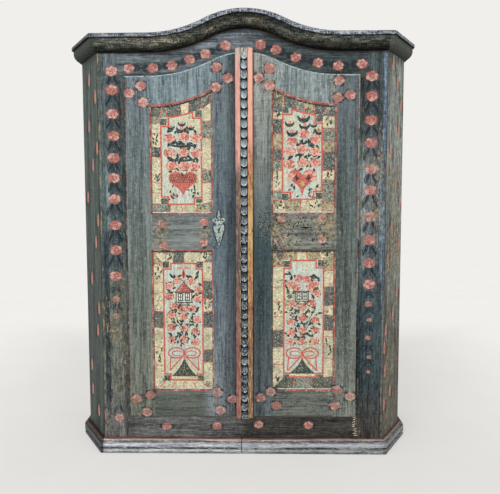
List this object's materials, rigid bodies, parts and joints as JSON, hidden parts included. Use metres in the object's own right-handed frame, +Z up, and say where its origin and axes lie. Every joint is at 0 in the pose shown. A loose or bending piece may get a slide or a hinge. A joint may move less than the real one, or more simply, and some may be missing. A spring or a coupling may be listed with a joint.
{
  "type": "painted two-door cupboard",
  "caption": "Tall painted two-door cupboard with canted corners, a serpentine cornice, raised panels, shelves inside and a carved astragal between the doors.",
  "frame": {"origin": "bottom centre of the whole cupboard, on the ground", "axes": "+Z up, front faces -Y, +X to the right of someone standing before it"},
  "size_m": [1.526, 0.522, 1.879],
  "materials": {
    "case_paint": "worn blue-grey paint on softwood",
    "door_paint": "worn blue-grey paint on softwood",
    "panel_paint": "worn cream and mint folk painting on softwood",
    "astragal_paint": "worn salmon and blue-grey paint on carved softwood",
    "cornice_paint": "worn very dark brown paint on softwood",
    "cap_wood": "weathered grey paint on softwood",
    "plinth_paint": "worn pale lavender grey paint on softwood",
    "bare_wood": "old bare softwood",
    "iron": "old wrought iron, partly painted over"
  },
  "bodies": {
    "case": {"back_boards": "bare_wood", "floor_board": "bare_wood", "frame_hinge_halves": "iron", "frieze_board": "case_paint", "left_bottom_rail": "case_paint", "left_canted_board": "case_paint", "left_cap_corner": "cap_wood", "left_cap_front": "cap_wood", "left_cap_side": "cap_wood", "left_front_stile": "case_paint", "left_ovolo_corner": "cornice_paint", "left_ovolo_front": "cornice_paint", "left_ovolo_side": "cornice_paint", "left_plinth_corner": "plinth_paint", "left_plinth_front": "plinth_paint", "left_plinth_side": "plinth_paint", "left_side_board": "case_paint", "lower_shelf": "bare_wood", "middle_shelf": "bare_wood", "right_bottom_rail": "case_paint", "right_canted_board": "case_paint", "right_cap_corner": "cap_wood", "right_cap_front": "cap_wood", "right_cap_side": "cap_wood", "right_front_stile": "case_paint", "right_ovolo_corner": "cornice_paint", "right_ovolo_front": "cornice_paint", "right_ovolo_side": "cornice_paint", "right_plinth_corner": "plinth_paint", "right_plinth_front": "plinth_paint", "right_plinth_side": "plinth_paint", "right_side_board": "case_paint", "roof_boards": "bare_wood", "shelf_back_cleats": "bare_wood", "shelf_side_cleats": "bare_wood", "upper_shelf": "bare_wood"},
    "left_door": {"astragal": "astragal_paint", "escutcheon": "iron", "escutcheon_nails": "iron", "left_door_bottom_rail": "door_paint", "left_door_hinge_halves": "iron", "left_door_hinge_stile": "door_paint", "left_door_lock_stile": "door_paint", "left_door_lower_panel": "panel_paint", "left_door_mid_rail": "door_paint", "left_door_top_rail": "door_paint", "left_door_upper_panel": "panel_paint", "lock_case": "iron"},
    "right_door": {"bolt_guides": "iron", "right_door_bottom_rail": "door_paint", "right_door_hinge_halves": "iron", "right_door_hinge_stile": "door_paint", "right_door_lock_stile": "door_paint", "right_door_lower_panel": "panel_paint", "right_door_mid_rail": "door_paint", "right_door_top_rail": "door_paint", "right_door_upper_panel": "panel_paint"},
    "lock_bolt": {"lock_bolt": "iron"},
    "upper_bolt": {"upper_bolt": "iron"},
    "lower_bolt": {"lower_bolt": "iron"}
  },
  "joints": [
    {"name": "left_door_hinge", "type": "hinge", "parent": "case", "child": "left_door", "pos_m": [-0.4958, -0.2242, 0.887], "axis": [0, 0, -1], "range_deg": [0, 110]},
    {"name": "right_door_hinge", "type": "hinge", "parent": "case", "child": "right_door", "pos_m": [0.4958, -0.2242, 0.887], "axis": [0, 0, 1], "range_deg": [0, 110]},
    {"name": "lock_bolt_slide", "type": "slide", "parent": "left_door", "child": "lock_bolt", "axis": [1, 0, 0], "range_m": [0, 0.015]},
    {"name": "upper_bolt_slide", "type": "slide", "parent": "right_door", "child": "upper_bolt", "axis": [0, 0, 1], "range_m": [0, 0.02]},
    {"name": "lower_bolt_slide", "type": "slide", "parent": "right_door", "child": "lower_bolt", "axis": [0, 0, -1], "range_m": [0, 0.02]}
  ]
}
